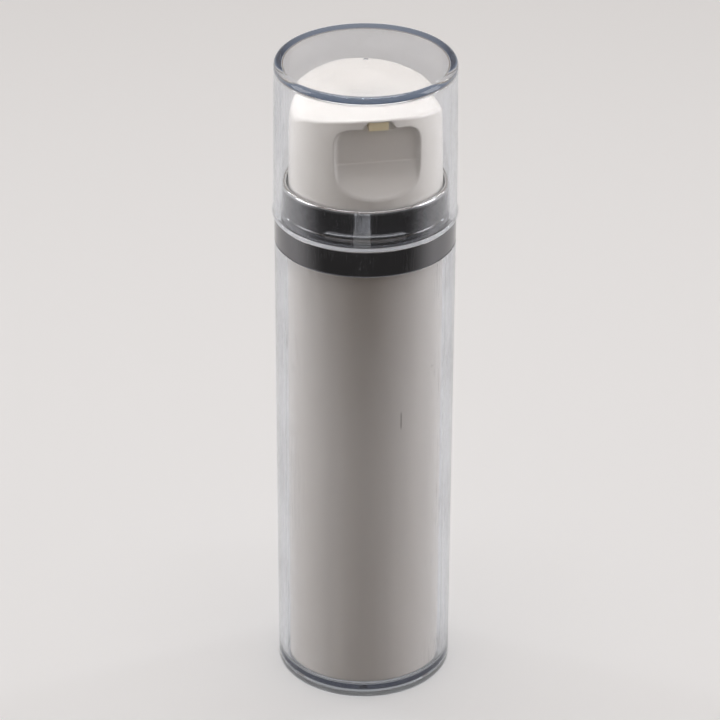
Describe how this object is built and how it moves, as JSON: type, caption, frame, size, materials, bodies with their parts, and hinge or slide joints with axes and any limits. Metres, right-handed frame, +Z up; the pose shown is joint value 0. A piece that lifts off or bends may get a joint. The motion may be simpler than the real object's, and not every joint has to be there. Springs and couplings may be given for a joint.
{
  "type": "airless pump bottle",
  "caption": "Airless pump bottle: clear outer shell round a white cup, plated collar, white press button with a scooped front, and a clear pull-off overcap.",
  "frame": {"origin": "centre of the underside, on the surface that the bottle stands on", "axes": "+Z up along the bottle's axis, the nozzle faces -Y"},
  "size_m": [0.0394, 0.0394, 0.1463],
  "materials": {
    "clear_plastic": "polished clear acrylic",
    "white_plastic": "glossy white polypropylene",
    "plated": "bright silver plating on plastic",
    "ivory_plastic": "satin natural plastic",
    "natural_plastic": "translucent natural polypropylene",
    "soft_plastic": "soft satin polyethylene",
    "gasket": "matte elastomer",
    "steel": "drawn stainless steel"
  },
  "bodies": {
    "bottle": {"outer_shell": "clear_plastic", "inner_cup": "white_plastic", "neck_gasket": "gasket", "closure_plug": "white_plastic", "collar": "plated", "pump_body": "natural_plastic", "stem_guide": "natural_plastic", "return_spring": "steel"},
    "overcap": {"overcap": "clear_plastic"},
    "rod": {"piston_rod": "natural_plastic"},
    "button": {"button_shell": "white_plastic", "nozzle_insert": "ivory_plastic", "pump_stem": "natural_plastic"},
    "pump_piston": {"pump_piston": "soft_plastic"},
    "inlet_ball": {"inlet_ball": "steel"},
    "follower": {"follower_piston": "soft_plastic"}
  },
  "joints": [
    {"name": "overcap_pull", "type": "slide", "parent": "bottle", "child": "overcap", "axis": [0, 0, 1], "range_m": [0, 0.035]},
    {"name": "button_press", "type": "slide", "parent": "bottle", "child": "rod", "axis": [0, 0, -1], "range_m": [0, 0.004], "stiffness_N_per_m": 900, "springref_m": -0.004, "deforming": ["return_spring"]},
    {"name": "button_turn", "type": "hinge", "parent": "rod", "child": "button", "pos_m": [0, 0, 0.12], "axis": [0, 0, 1], "continuous": true},
    {"name": "piston_slip", "type": "slide", "parent": "rod", "child": "pump_piston", "axis": [0, 0, 1], "range_m": [0, 0.0008]},
    {"name": "ball_lift", "type": "slide", "parent": "bottle", "child": "inlet_ball", "axis": [0, 0, 1], "range_m": [0, 0.0008]},
    {"name": "follower_rise", "type": "slide", "parent": "bottle", "child": "follower", "axis": [0, 0, 1], "range_m": [0, 0.08]}
  ]
}
